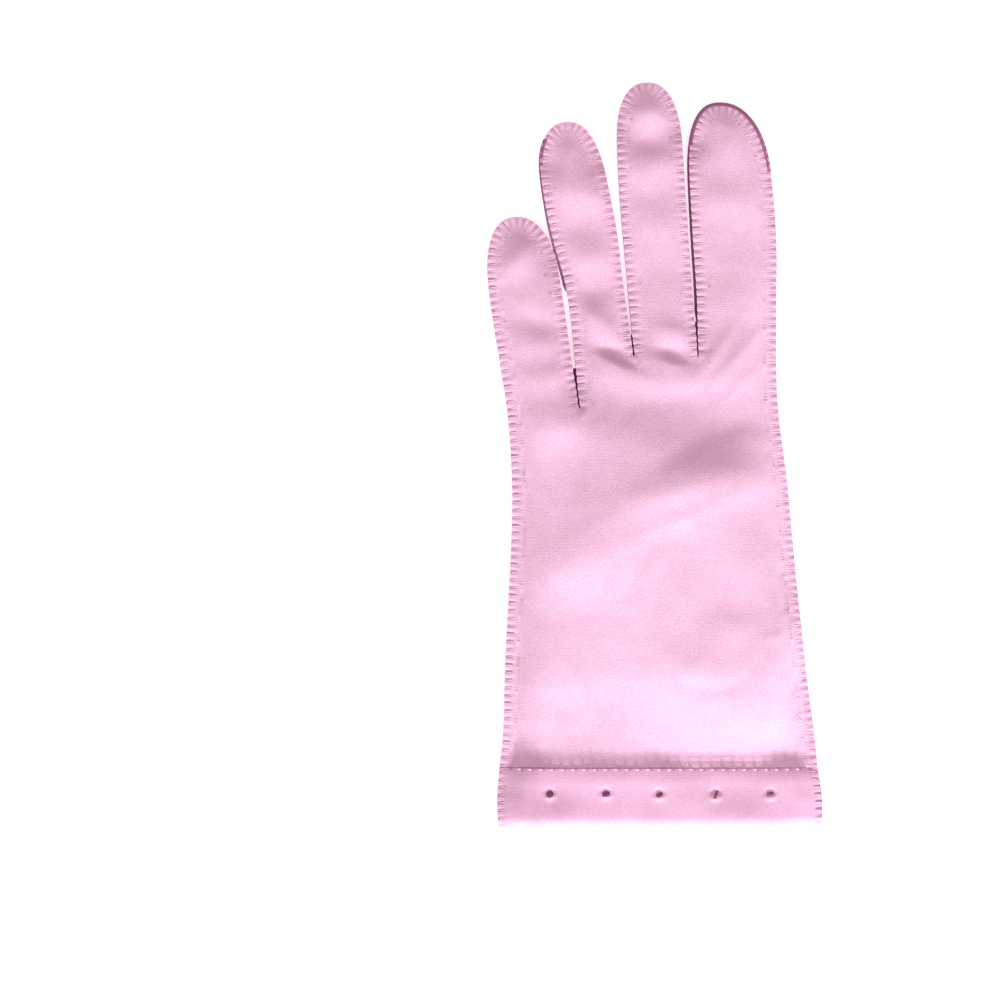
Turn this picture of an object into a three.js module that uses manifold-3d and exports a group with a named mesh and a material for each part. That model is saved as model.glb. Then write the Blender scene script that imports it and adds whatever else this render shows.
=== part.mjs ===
// A wrist-length dress glove for the left hand, lying on its palm with the fingers towards +Y.
// It is sewn from thin knit cloth: a back panel, a palm panel, three strips between the
// fingers, a set-in thumb that is folded under the palm, and a doubled band round the cuff.
// Millimetres, +Z up. The origin is on the surface below the middle of the glove.

import * as THREE from 'three';
import { mergeVertices } from 'three/addons/utils/BufferGeometryUtils.js';
import Module from 'manifold-3d';

const wasm = await Module();
wasm.setup();

// Driving dimensions

const wall = 1;             // the cloth of the panels, the strips and the thumb
const gap = 0.3;            // between two pieces that are sewn together
const bandExtra = 0.8;      // what the band is thicker than a panel, because it is doubled

const cuffFold = -113.9;    // the folded lower edge of the band
const cuffSeam = -94.7;     // where the band is stitched to the panels

const hollow = 5.3;         // the fullness between palm and back
const fingerSide = 0.62;    // the share of it that is left along a slit between two fingers
const sideRound = 6;        // how far from a slit it is full again
const seamMargin = 1.6;     // the flat margin outside the stitches of the outer seam
const crownReach = 12;      // how far from the outer seam the glove is full
const edgeLift = 0.9;       // how far the palm's outer edge stands off the surface
const edgeCurl = 5;         // how wide that curl is

const roundness = 2.4;      // the fingertips are superellipses of this power
const roundEnd = 0.994;     // the share of a superellipse that is drawn before it closes
const slitEnd = 11;         // the slits between the fingers are sewn shut this far below the tips

const strip = {
  stop: 13,                 // the strips between the fingers end this far below the tips
  inset: 0.45,              // how far a strip stands inside the edges that it is sewn to
  gap: 0.4,                 // and how far it ends below the back
  least: 0.2,               // its least height, at its ends
  bulge: 0.3,               // how far its middle bows out into the slit
  rootGap: 3,               // it turns round the crotch within this height
};

const band = {
  foldRise: 1.2,            // how much higher the fold is at the right end of the cuff
  rim: 0.7,                 // the share of the cloth's thickness that is left at an edge
  rimReach: 1.5,            // how far from an edge the cloth has its thickness
  padReach: 4,              // and how far from it the band is at its thickest
};

const eyelet = { radius: 1.2, pitch: 16.75 };
const eyeletRows = [        // the lower row lies half round the fold
  { y: -102.5, first: -32.3, count: 5 },
  { y: -113.2, first: -40.6, count: 6 },
];

// Side edges of the hand, from the fold of the cuff to the roots of the fingers

const handEdges = [
  { y: -113.9, left: -47.8, right: 50.4 },
  { y: -105.0, left: -48.3, right: 50.9 },
  { y: -94.7, left: -47.5, right: 49.3 },
  { y: -85.0, left: -46.5, right: 48.4 },
  { y: -62.0, left: -45.8, right: 45.4 },
  { y: -26.0, left: -44.0, right: 41.8 },
  { y: -7.0, left: -43.8, right: 40.0 },
  { y: 14.3, left: -45.3, right: 37.3 },
  { y: 30.0, left: -47.8, right: 36.7 },
];

// Fingers, from the outer side of the hand. A row holds the two edges at a height, and the last
// row, at the tip's height, holds where the edges lead to before the tip is rounded off.

const fingers = [
  {
    name: 'little',
    roundFrom: 54,
    tip: { x: -42.4, y: 73.0 },
    edges: [
      { y: 14.3, left: -45.3, right: -23.3 },
      { y: 30.0, left: -47.8, right: -25.8 },
      { y: 41.5, left: -49.7, right: -27.3 },
      { y: 53.7, left: -51.2, right: -29.1 },
      { y: 73.0, left: -52.0, right: -31.8 },
    ],
  },
  {
    name: 'ring',
    roundFrom: 84,
    tip: { x: -26.5, y: 101.9 },
    edges: [
      { y: 14.3, left: -23.3, right: -5.4 },
      { y: 29.9, left: -24.7, right: -6.7 },
      { y: 50.6, left: -27.2, right: -9.7 },
      { y: 68.9, left: -32.1, right: -11.9 },
      { y: 84.0, left: -34.8, right: -14.8 },
      { y: 101.9, left: -36.5, right: -18.0 },
    ],
  },
  {
    name: 'middle',
    roundFrom: 95,
    tip: { x: -2.5, y: 113.9 },
    edges: [
      { y: 29.9, left: -6.7, right: 12.7 },
      { y: 47.6, left: -8.3, right: 11.3 },
      { y: 84.2, left: -11.4, right: 8.8 },
      { y: 113.9, left: -12.4, right: 7.0 },
    ],
  },
  {
    name: 'index',
    roundFrom: 84,
    tip: { x: 19.0, y: 107.4 },
    edges: [
      { y: 29.9, left: 12.7, right: 36.7 },
      { y: 47.6, left: 12.4, right: 36.8 },
      { y: 65.9, left: 11.2, right: 36.8 },
      { y: 84.0, left: 10.2, right: 35.4 },
      { y: 107.4, left: 9.3, right: 32.5 },
    ],
  },
];

const crotches = [
  { name: 'ring_little', x: -23.3, y: 14.3 },
  { name: 'middle_ring', x: -6.7, y: 29.9 },
  { name: 'index_middle', x: 12.7, y: 29.9 },
];

// The thumb is a flattened tube from its root circle to its tip circle

const thumb = {
  root: { x: 21, y: -57, radius: 14 },
  tip: { x: 1, y: -20, radius: 11 },
  height: 4.6,
  squareness: 2.6,          // its sections are superellipses of this power
  mouth: { along: 1.5, halfLength: 12.5, halfWidth: 9.5 },
};
const thumbClear = 1.5;     // the palm stays up this far outside the thumb
const thumbSlope = 12;      // and comes down over this width
const backSlope = 26;       // where the back, which bridges it softly, takes this width

// Soft folds of the back: where one is centred, its reach along and across, its turn in
// degrees from +X, and its height

const folds = [
  { x: 15, y: -10, along: 24, across: 7, turn: 17, high: 1.5 },
  { x: 26, y: -51, along: 13, across: 8, turn: 80, high: -1.3 },
  { x: 12, y: -68, along: 20, across: 6, turn: 20, high: 0.8 },
  { x: -22, y: -45, along: 30, across: 9, turn: 75, high: 0.7 },
  { x: 8, y: 27, along: 26, across: 6, turn: 8, high: 0.8 },
  { x: -27, y: -80, along: 26, across: 6, turn: 4, high: -0.6 },
  { x: -3, y: 104, along: 10, across: 4, turn: 0, high: 0.5 },
  { x: -1, y: 86, along: 12, across: 5, turn: 8, high: 0.6 },
  { x: 23, y: 92, along: 12, across: 6, turn: -20, high: 0.6 },
  { x: 24, y: 56, along: 13, across: 7, turn: 10, high: 0.5 },
  { x: -24, y: 80, along: 12, across: 6, turn: -10, high: 0.5 },
  { x: -39, y: 55, along: 12, across: 5, turn: 15, high: 0.5 },
];

// Curves and distances

const clamp = (t) => Math.min(1, Math.max(0, t));
const ease = (t) => clamp(t) ** 2 * (3 - 2 * clamp(t));
const dome = (t) => Math.sin(clamp(t) * Math.PI / 2);
const mix = THREE.MathUtils.lerp;

// A smooth curve through one column of a table, read at a height.
function along(rows, column, y) {
  const last = rows.length - 1;
  const slope = (i) => {
    const a = rows[Math.max(0, i - 1)];
    const b = rows[Math.min(last, i + 1)];
    return (b[column] - a[column]) / (b.y - a.y);
  };
  let i = 0;
  while (i < last - 1 && y > rows[i + 1].y) i += 1;
  const step = rows[i + 1].y - rows[i].y;
  const t = (y - rows[i].y) / step;
  const from = rows[i][column] * (1 - t) ** 2 * (1 + 2 * t) + slope(i) * step * t * (1 - t) ** 2;
  const to = rows[i + 1][column] * t ** 2 * (3 - 2 * t) - slope(i + 1) * step * t ** 2 * (1 - t);
  return from + to;
}

function fingerEdge(finger, side, y) {
  const t = clamp((y - finger.roundFrom) / (finger.tip.y - finger.roundFrom));
  const narrowing = (1 - t ** roundness) ** (1 / roundness);
  return finger.tip.x + (along(finger.edges, side, y) - finger.tip.x) * narrowing;
}

// Heights from the start of the rounding to the tip, closer together where it turns fastest.
function roundedHeights(finger, steps) {
  const reach = finger.tip.y - finger.roundFrom;
  return Array.from({ length: steps }, (_, i) => (
    finger.roundFrom + reach * roundEnd * dome((i + 1) / steps)
  ));
}

function edgeLine(finger, side, from, to, steps) {
  return Array.from({ length: steps + 1 }, (_, i) => {
    const y = mix(from, to, i / steps);
    return [fingerEdge(finger, side, y), y];
  });
}

function distanceTo(lines, x, y) {
  let best = Infinity;
  for (const line of lines) {
    for (let i = 1; i < line.length; i += 1) {
      const [ax, ay] = line[i - 1];
      const [bx, by] = line[i];
      const length = (bx - ax) ** 2 + (by - ay) ** 2;
      const t = length ? clamp(((x - ax) * (bx - ax) + (y - ay) * (by - ay)) / length) : 0;
      best = Math.min(best, Math.hypot(x - mix(ax, bx, t), y - mix(ay, by, t)));
    }
  }
  return best;
}

// The edges near a part of the glove: those where back and palm are sewn to each other, and
// those along the slits. Each finger has its own, so that its neighbour's tip doesn't count.

const [little, , , index] = fingers;
const outlineSteps = 24;
const outerSides = [
  handEdges.map(({ left, y }) => [left, y]),
  handEdges.map(({ right, y }) => [right, y]),
  edgeLine(little, 'left', little.edges[0].y, little.tip.y, outlineSteps),
  edgeLine(index, 'right', index.edges[0].y, index.tip.y, outlineSteps),
];

function slitLine(number, side) {
  const finger = fingers[number];
  const crotch = crotches[side === 'left' ? number - 1 : number];
  return crotch ? [edgeLine(finger, side, crotch.y, finger.tip.y - slitEnd, outlineSteps)] : [];
}

const fingerPlaces = fingers.map((finger, number) => ({
  sewn: [
    ...outerSides.slice(number > 0 ? 3 : 2, number === fingers.length - 1 ? 4 : 3),
    ...['left', 'right'].map((side) => (
      edgeLine(finger, side, finger.tip.y - slitEnd, finger.tip.y, outlineSteps)
    )),
  ],
  slits: [...slitLine(number, 'left'), ...slitLine(number, 'right')],
}));
const hand = { sewn: outerSides, slits: fingerPlaces.flatMap((place) => place.slits) };

// The thumb's own frame: along it from its root, and across it

const thumbAxis = new THREE.Vector2(thumb.tip.x - thumb.root.x, thumb.tip.y - thumb.root.y);
const thumbLength = thumbAxis.length();
thumbAxis.normalize();

function thumbPoint(alongIt, acrossIt) {
  return [
    thumb.root.x + thumbAxis.x * alongIt + thumbAxis.y * acrossIt,
    thumb.root.y + thumbAxis.y * alongIt - thumbAxis.x * acrossIt,
  ];
}

function outsideThumb(x, y) {
  const reach = (x - thumb.root.x) * thumbAxis.x + (y - thumb.root.y) * thumbAxis.y;
  const t = clamp(reach / thumbLength);
  const [nearX, nearY] = thumbPoint(t * thumbLength, 0);
  return Math.hypot(x - nearX, y - nearY) - mix(thumb.root.radius, thumb.tip.radius, t);
}

// The lie of the glove: the underside of the palm, and the underside of the back

function overThumb(x, y, slope) {
  return (thumb.height + gap) * (1 - ease((outsideThumb(x, y) - thumbClear) / slope));
}

function palmLie(x, y, place = hand) {
  const toEdge = distanceTo([...place.sewn, ...place.slits], x, y);
  return edgeLift * (1 - ease(toEdge / edgeCurl)) + overThumb(x, y, thumbSlope);
}

function foldHeight(x, y) {
  return folds.reduce((sum, fold) => {
    const turn = THREE.MathUtils.degToRad(fold.turn);
    const u = ((x - fold.x) * Math.cos(turn) + (y - fold.y) * Math.sin(turn)) / fold.along;
    const v = ((y - fold.y) * Math.cos(turn) - (x - fold.x) * Math.sin(turn)) / fold.across;
    return sum + fold.high * Math.exp(-(u * u + v * v) / 2);
  }, 0);
}

function backLie(x, y, place = hand) {
  const toSeam = distanceTo(place.sewn, x, y);
  const toSlit = distanceTo(place.slits, x, y);
  const crown = dome((toSeam - seamMargin) / (crownReach - seamMargin));
  const side = mix(fingerSide, 1, dome(toSlit / sideRound));
  const folded = ease(Math.min(toSeam, toSlit) / crownReach) * foldHeight(x, y);
  const bridged = overThumb(x, y, backSlope) - overThumb(x, y, thumbSlope);
  return palmLie(x, y, place) + wall + gap + crown * (side * hollow + bridged) + folded;
}

// Solids from tables of vertices and triangles, always facing out

function closedMesh(points, triangles) {
  const volume = triangles.reduce((sum, [a, b, c]) => {
    const [p, q, r] = [a, b, c].map((i) => new THREE.Vector3(...points[i]));
    return sum + p.dot(q.cross(r));
  }, 0);
  const outward = volume < 0 ? triangles.map(([a, b, c]) => [a, c, b]) : triangles;
  const geometry = new THREE.BufferGeometry();
  geometry.setAttribute('position', new THREE.Float32BufferAttribute(points.flat(), 3));
  geometry.setIndex(outward.flat());
  return geometry;
}

// A sheet of cloth over a plan of four-sided cells: it lies where one function says, and is as
// thick as another says.
function sheet({ plan, cells }, lie, thickness) {
  const count = plan.length;
  const under = plan.map(([x, y, place]) => [x, y, lie(x, y, place)]);
  const points = [...under, ...under.map(([x, y, z]) => [x, y, z + thickness(x, y)])];
  const triangles = [];
  const border = new Map();
  const climb = (i, j) => Math.abs(under[i][2] - under[j][2]);
  for (const cell of cells) {
    const [a, b, c, d] = climb(cell[0], cell[2]) <= climb(cell[1], cell[3])
      ? cell : [...cell.slice(1), cell[0]];
    triangles.push([a, c, b], [a, d, c]);
    triangles.push([a + count, b + count, c + count], [a + count, c + count, d + count]);
    for (const [p, q] of [[a, b], [b, c], [c, d], [d, a]]) {
      if (!border.delete(`${q} ${p}`)) border.set(`${p} ${q}`, [p, q]);
    }
  }
  for (const [p, q] of border.values()) {
    triangles.push([p, q, q + count], [p, q + count, p + count]);
  }
  return closedMesh(points, triangles);
}

// A solid through closed rings that all have the same number of points.
function loft(rings) {
  const size = rings[0].length;
  const points = rings.flat();
  const triangles = [];
  for (let i = 1; i < rings.length; i += 1) {
    for (let j = 0; j < size; j += 1) {
      const [a, b] = [(i - 1) * size + j, (i - 1) * size + (j + 1) % size];
      triangles.push([a, b, b + size], [a, b + size, a + size]);
    }
  }
  for (let j = 1; j < size - 1; j += 1) {
    const end = (rings.length - 1) * size;
    triangles.push([0, j + 1, j], [end, end + j, end + j + 1]);
  }
  return closedMesh(points, triangles);
}

function toSolid(geometry) {
  const bare = geometry.clone();
  bare.deleteAttribute('normal');
  bare.deleteAttribute('uv');
  const merged = mergeVertices(bare);
  return new wasm.Manifold(new wasm.Mesh({
    numProp: 3,
    vertProperties: new Float32Array(merged.attributes.position.array),
    triVerts: new Uint32Array(merged.index.array),
  }));
}

function toGeometry(solid) {
  const { numProp, vertProperties, triVerts } = solid.getMesh();
  const geometry = new THREE.BufferGeometry();
  const points = Array.from({ length: vertProperties.length / numProp }, (_, i) => (
    [...vertProperties.subarray(i * numProp, i * numProp + 3)]
  ));
  geometry.setAttribute('position', new THREE.Float32BufferAttribute(points.flat(), 3));
  geometry.setIndex([...triVerts]);
  return geometry;
}

// The plan of a panel: columns across four fingers, rows from the cuff to the tips

const columnShares = [0, 0.09, 0.28, 0.5, 0.72, 0.91, 1];
const perFinger = columnShares.length - 1;
const handRows = 18;
const fingerRowHeight = 5.6;
const tipRows = 6;

// Where a column is at the cuff: evenly spaced, but for the two that follow the side edges.
function cuffShare(column) {
  const columns = perFinger * fingers.length;
  const edge = columnShares[1] / fingers.length;
  return column === 1 ? edge : column === columns - 1 ? 1 - edge : column / columns;
}

function rootPoint(column) {
  const number = Math.min(Math.floor(column / perFinger), fingers.length - 1);
  const share = columnShares[column - number * perFinger];
  const left = number === 0 ? little.edges[0] : crotches[number - 1];
  const right = number === fingers.length - 1 ? index.edges[0] : crotches[number];
  const leftX = number === 0 ? left.left : left.x;
  const rightX = number === fingers.length - 1 ? right.right : right.x;
  return [mix(leftX, rightX, share), mix(left.y, right.y, share)];
}

function panelPlan() {
  const plan = [];
  const cells = [];
  const columns = perFinger * fingers.length;
  const bottom = cuffSeam + gap / 2;
  const grid = [];
  for (let row = 0; row <= handRows; row += 1) {
    const t = row / handRows;
    grid.push(Array.from({ length: columns + 1 }, (_, column) => {
      const [rootX, rootY] = rootPoint(column);
      const [left, right] = ['left', 'right'].map((side) => along(handEdges, side, rootY));
      const atRoot = (rootX - left) / (right - left);
      const y = mix(bottom, rootY, t);
      const share = mix(cuffShare(column), atRoot, ease(t));
      const x = mix(along(handEdges, 'left', y), along(handEdges, 'right', y), share);
      plan.push(row === handRows ? [rootX, rootY, hand] : [x, y, hand]);
      return plan.length - 1;
    }));
  }
  for (let row = 0; row < handRows; row += 1) {
    for (let column = 0; column < columns; column += 1) {
      const [low, high] = [grid[row], grid[row + 1]];
      cells.push([low[column], low[column + 1], high[column + 1], high[column]]);
    }
  }
  fingers.forEach((finger, number) => {
    let low = grid[handRows].slice(number * perFinger, (number + 1) * perFinger + 1);
    const [leftRoot, rightRoot] = [plan[low[0]][1], plan[low[perFinger]][1]];
    const count = Math.round((finger.roundFrom - (leftRoot + rightRoot) / 2) / fingerRowHeight);
    const straight = Array.from({ length: count }, (_, i) => (i + 1) / count);
    const heights = [
      ...straight.map((t) => [leftRoot, rightRoot].map((root) => mix(root, finger.roundFrom, t))),
      ...roundedHeights(finger, tipRows).map((y) => [y, y]),
    ];
    for (const [leftY, rightY] of heights) {
      const high = columnShares.map((share) => {
        const ends = [fingerEdge(finger, 'left', leftY), fingerEdge(finger, 'right', rightY)];
        plan.push([mix(...ends, share), mix(leftY, rightY, share), fingerPlaces[number]]);
        return plan.length - 1;
      });
      for (let j = 0; j < perFinger; j += 1) {
        cells.push([low[j], low[j + 1], high[j + 1], high[j]]);
      }
      low = high;
    }
  });
  return { plan, cells };
}

// The prism that cuts the thumb's mouth through the palm and through the thumb's upper side

function mouthCutter(low, high) {
  const sides = 24;
  const outline = new THREE.Shape(Array.from({ length: sides }, (_, i) => {
    const turn = i / sides * Math.PI * 2;
    const reach = thumb.mouth.along + thumb.mouth.halfLength * Math.cos(turn);
    return new THREE.Vector2(...thumbPoint(reach, thumb.mouth.halfWidth * Math.sin(turn)));
  }));
  const prism = new THREE.ExtrudeGeometry(outline, { depth: high - low, bevelEnabled: false });
  return toSolid(prism.translate(0, 0, low));
}

function backPanel() {
  return sheet(panelPlan(), backLie, () => wall);
}

function palmPanel() {
  const whole = toSolid(sheet(panelPlan(), palmLie, () => wall));
  return toGeometry(whole.subtract(mouthCutter(0, 2 * thumb.height)));
}

// A strip between two fingers: down the side of one, round the crotch and up the other

function fingerStrip(number) {
  const crotch = crotches[number];
  const [first, second] = [fingers[number], fingers[number + 1]];
  const steps = 12;
  const root = crotch.y + strip.rootGap;
  const down = edgeLine(first, 'right', first.tip.y - strip.stop, root, steps);
  const up = edgeLine(second, 'left', root, second.tip.y - strip.stop, steps);
  const path = [...down, [crotch.x, crotch.y], ...up];
  const rings = path.map(([x, y], i) => {
    const [ax, ay] = path[Math.max(0, i - 1)];
    const [bx, by] = path[Math.min(path.length - 1, i + 1)];
    const length = Math.hypot(bx - ax, by - ay);
    const atRoot = i === steps + 1;
    const inward = atRoot ? [0, -1] : [(by - ay) / length, -(bx - ax) / length];
    const place = (inset) => [x + inward[0] * inset, y + inward[1] * inset];
    const outer = place(strip.inset);
    const inner = place(strip.inset + wall);
    const bowed = strip.inset - (atRoot ? 0 : strip.bulge);
    const [outerMiddle, innerMiddle] = [place(bowed), place(bowed + wall)];
    const finger = fingerPlaces[i <= steps ? number : number + 1];
    const low = ([px, py]) => palmLie(px, py, finger) + wall + gap;
    const high = ([px, py]) => (
      Math.max(backLie(px, py, finger) - strip.gap, low([px, py]) + strip.least)
    );
    const middle = (point) => (low(point) + high(point)) / 2;
    return [
      [...outer, low(outer)],
      [...outerMiddle, middle(outer)],
      [...outer, high(outer)],
      [...inner, high(inner)],
      [...innerMiddle, middle(inner)],
      [...inner, low(inner)],
    ];
  });
  return loft(rings);
}

// The thumb: a flattened tube with two round ends, whose mouth opens up into the palm

function thumbRings(inset) {
  const { root, tip, height, squareness } = thumb;
  const sides = 16;
  const steps = 11;
  const trimmed = 0.06;
  const start = -root.radius + inset;
  const end = thumbLength + tip.radius - inset;
  return Array.from({ length: steps + 1 }, (_, i) => {
    const halfTurn = Math.PI * mix(trimmed, 1 - trimmed, i / steps);
    const reach = mix(start, end, (1 - Math.cos(halfTurn)) / 2);
    const beyond = reach < 0 ? -reach : Math.max(0, reach - thumbLength);
    const radius = mix(root.radius, tip.radius, clamp(reach / thumbLength)) - inset;
    const round = Math.sqrt(Math.max(0, 1 - (beyond / radius) ** 2));
    const halfHeight = (height / 2 - inset) * Math.sqrt(round);
    return Array.from({ length: sides }, (__, j) => {
      const turn = j / sides * Math.PI * 2;
      const [c, s] = [Math.cos(turn), Math.sin(turn)];
      const across = Math.sign(c) * Math.abs(c) ** (2 / squareness) * radius * round;
      const up = height / 2 + Math.sign(s) * Math.abs(s) ** (2 / squareness) * halfHeight;
      return [...thumbPoint(reach, across), Math.max(up, inset)];
    });
  });
}

function thumbPiece() {
  const outer = toSolid(loft(thumbRings(0)));
  const inner = toSolid(loft(thumbRings(wall)));
  const mouth = mouthCutter(thumb.height / 2, 2 * thumb.height);
  return toGeometry(outer.subtract(inner).subtract(mouth));
}

// The cuff band: doubled cloth, thin along its edges, with two rows of eyelets

function bandPlan() {
  const rowShares = [0, 0.06, 0.2, 0.5, 0.8, 1];
  const columns = perFinger * fingers.length;
  const plan = [];
  const cells = [];
  rowShares.forEach((rowShare, row) => {
    for (let column = 0; column <= columns; column += 1) {
      const share = cuffShare(column);
      const fold = cuffFold + band.foldRise * Math.max(0, 2 * share - 1) ** 2;
      const y = mix(fold, cuffSeam - gap / 2, rowShare);
      const [left, right] = ['left', 'right'].map((side) => along(handEdges, side, y));
      plan.push([mix(left, right, share), y, hand]);
      if (row > 0 && column > 0) {
        const corner = plan.length - 1;
        cells.push([corner - columns - 2, corner - columns - 1, corner, corner - 1]);
      }
    }
  });
  return { plan, cells };
}

function bandThickness(x, y) {
  const sides = distanceTo(hand.sewn, x, y);
  const ends = Math.min(y - cuffFold, cuffSeam - y);
  const cloth = wall * mix(band.rim, 1, dome(ends / band.rimReach));
  return cloth + bandExtra * dome(Math.min(sides, ends) / band.padReach);
}

function cuffBand(lie) {
  const depth = 30;
  const sides = 10;
  let cuff = toSolid(sheet(bandPlan(), lie, bandThickness));
  for (const row of eyeletRows) {
    for (let i = 0; i < row.count; i += 1) {
      const punch = new THREE.CylinderGeometry(eyelet.radius, eyelet.radius, depth, sides);
      punch.rotateX(Math.PI / 2).translate(row.first + i * eyelet.pitch, row.y, 0);
      cuff = cuff.subtract(toSolid(punch));
    }
  }
  return toGeometry(cuff);
}

// Materials

function knit(color, roughness) {
  return new THREE.MeshStandardMaterial({ color, roughness, metalness: 0 });
}

const panelKnit = knit('#f5c6de', 0.85);
const thumbKnit = knit('#f2bfd8', 0.85);
const stripKnit = knit('#e6a9c6', 0.88);
const bandKnit = knit('#f4c5dd', 0.82);

const glove = new THREE.Group();

function add(name, geometry, material) {
  geometry.computeVertexNormals();
  const mesh = new THREE.Mesh(geometry, material);
  mesh.name = name;
  glove.add(mesh);
}

add('back_panel', backPanel(), panelKnit);
add('palm_panel', palmPanel(), panelKnit);
crotches.forEach((crotch, i) => add(`fourchette_${crotch.name}`, fingerStrip(i), stripKnit));
add('thumb', thumbPiece(), thumbKnit);
add('cuff_band_back', cuffBand(backLie), bandKnit);
add('cuff_band_palm', cuffBand(palmLie), bandKnit);

const middle = new THREE.Box3().setFromObject(glove).getCenter(new THREE.Vector3());
glove.children.forEach((mesh) => mesh.position.set(-middle.x, -middle.y, 0));

export default glove;
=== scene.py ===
# %% [markdown]
# # A dress glove, lying on its palm
#
# This lesson dresses a glove of thin pink knit around a plain model of its pieces. The plain
# model gives the size and the place of every piece, and this script gives them their cloth,
# their stitches and their light. All lengths are in metres, and `MM` turns millimetres to them.

# %% Load the frame
import math

import bmesh
import bpy
from mathutils import Matrix, Vector, noise
from mathutils.bvhtree import BVHTree
from mathutils.kdtree import KDTree


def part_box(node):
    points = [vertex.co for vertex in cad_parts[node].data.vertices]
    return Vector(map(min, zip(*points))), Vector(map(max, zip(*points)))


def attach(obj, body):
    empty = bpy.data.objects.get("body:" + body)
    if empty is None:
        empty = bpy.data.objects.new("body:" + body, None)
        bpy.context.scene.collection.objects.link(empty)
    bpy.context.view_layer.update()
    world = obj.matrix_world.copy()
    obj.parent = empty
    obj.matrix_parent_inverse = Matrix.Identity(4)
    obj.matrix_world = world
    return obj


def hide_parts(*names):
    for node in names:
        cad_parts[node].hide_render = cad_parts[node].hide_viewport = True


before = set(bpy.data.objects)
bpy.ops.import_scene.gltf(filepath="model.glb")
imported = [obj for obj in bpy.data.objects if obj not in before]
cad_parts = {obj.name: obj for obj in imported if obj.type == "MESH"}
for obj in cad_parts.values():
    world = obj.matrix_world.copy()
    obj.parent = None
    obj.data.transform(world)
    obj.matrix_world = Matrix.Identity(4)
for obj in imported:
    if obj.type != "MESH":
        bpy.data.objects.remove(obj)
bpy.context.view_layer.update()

MM = 0.001

# %% [markdown]
# ## The camera
#
# The photo looks straight down on the glove, so the camera hangs above it with a long lens.
# The width of the picture on the table is a real size, and the lens follows from it.

# %% Hang the camera above the glove
PICTURE_WIDTH = 305 * MM
PICTURE_MIDDLE = Vector((-47.1 * MM, -13.3 * MM, 0))
CAMERA_HEIGHT = 1.25

camera = bpy.data.objects.new("camera", bpy.data.cameras.new("camera"))
bpy.context.scene.collection.objects.link(camera)
camera.location = PICTURE_MIDDLE + Vector((0, 0, CAMERA_HEIGHT))
camera.data.sensor_width = 36
camera.data.lens = camera.data.sensor_width * CAMERA_HEIGHT / PICTURE_WIDTH
camera.data.clip_start = 0.05
bpy.context.scene.camera = camera
print("the lens is", round(camera.data.lens), "mm long")

# %% [markdown]
# ## The light
#
# The light of the photo is pale and comes low across the table from the side of the cuff, so a
# slope that faces the cuff is nearly white and a slope that faces the fingertips is rose. A small
# and slightly cool lamp does that. A wide weak lamp above the glove and a pale world with a trace
# of pink fill the shadows.

# %% Set the lamps, the world and the table
def lamp(name, place, size, power, colour):
    """A soft square lamp that looks at the middle of the glove."""
    light = bpy.data.lights.new(name, "AREA")
    light.shape, light.size, light.energy, light.color = "SQUARE", size, power, colour
    holder = bpy.data.objects.new(name, light)
    bpy.context.scene.collection.objects.link(holder)
    holder.location = place
    holder.rotation_euler = (-Vector(place)).to_track_quat("-Z", "Y").to_euler()
    return holder


lamp("cuff side lamp", (0.2, -1.2, 0.5), 0.3, 26.5, (0.81, 0.97, 1.0))
lamp("overhead lamp", (0.0, 0.1, 1.6), 1.2, 4, (1.0, 1.0, 1.0))

world = bpy.data.worlds.new("pale room")
world.use_nodes = True
world.node_tree.nodes["Background"].inputs["Color"].default_value = (1.0, 0.965, 0.985, 1)
world.node_tree.nodes["Background"].inputs["Strength"].default_value = 0.57
bpy.context.scene.world = world
bpy.context.scene.view_settings.view_transform = "Standard"

TABLE_SIZE = 3.0
table_mesh = bmesh.new()
bmesh.ops.create_grid(table_mesh, x_segments=1, y_segments=1, size=TABLE_SIZE / 2)
table_data = bpy.data.meshes.new("table")
table_mesh.to_mesh(table_data)
table_top = bpy.data.objects.new("table", table_data)
bpy.context.scene.collection.objects.link(table_top)

# %% [markdown]
# ## Small helpers for materials
#
# A colour is written as an sRGB hex value, as a painter's chart gives it, and one function
# turns it to the linear numbers that a shader wants. Another adds a node, sets it and links it.

# %% Colour and node helpers
def linear(hex_colour):
    """An sRGB hex colour as the linear RGBA that shaders take."""
    parts = [int(hex_colour[i:i + 2], 16) / 255 for i in (1, 3, 5)]
    return [c / 12.92 if c <= 0.04045 else ((c + 0.055) / 1.055) ** 2.4 for c in parts] + [1]


def node(tree, kind, links=(), **values):
    """Adds a node, sets its inputs or settings by name, and links (input, socket) pairs."""
    made = tree.nodes.new(kind)
    for name, value in values.items():
        plain = name.replace("_", " ").title()
        if plain in made.inputs:
            made.inputs[plain].default_value = value
        else:
            setattr(made, name, value)
    for name, socket in links:
        tree.links.new(socket, made.inputs[name])
    return made


def new_material(name):
    """An empty material with its shader."""
    made = bpy.data.materials.new(name)
    made.use_nodes = True
    return made, made.node_tree, made.node_tree.nodes["Principled BSDF"]


# %% [markdown]
# ## The knit
#
# The cloth is simplex, a double-faced warp knit of fine nylon or cotton that was sueded until
# it is matt and a little downy. What the eye sees is a soft colour without gloss, very fine
# lines across the glove, and a faint mottle where the nap lies one way or the other. The real
# courses are about 0.35 mm apart. That is just too fine for this picture, so they are drawn
# 0.7 mm apart.

# %% Make the knit
COURSE = 0.7 * MM
MOTTLE = 5 * MM
GRAIN = 0.45 * MM


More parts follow.
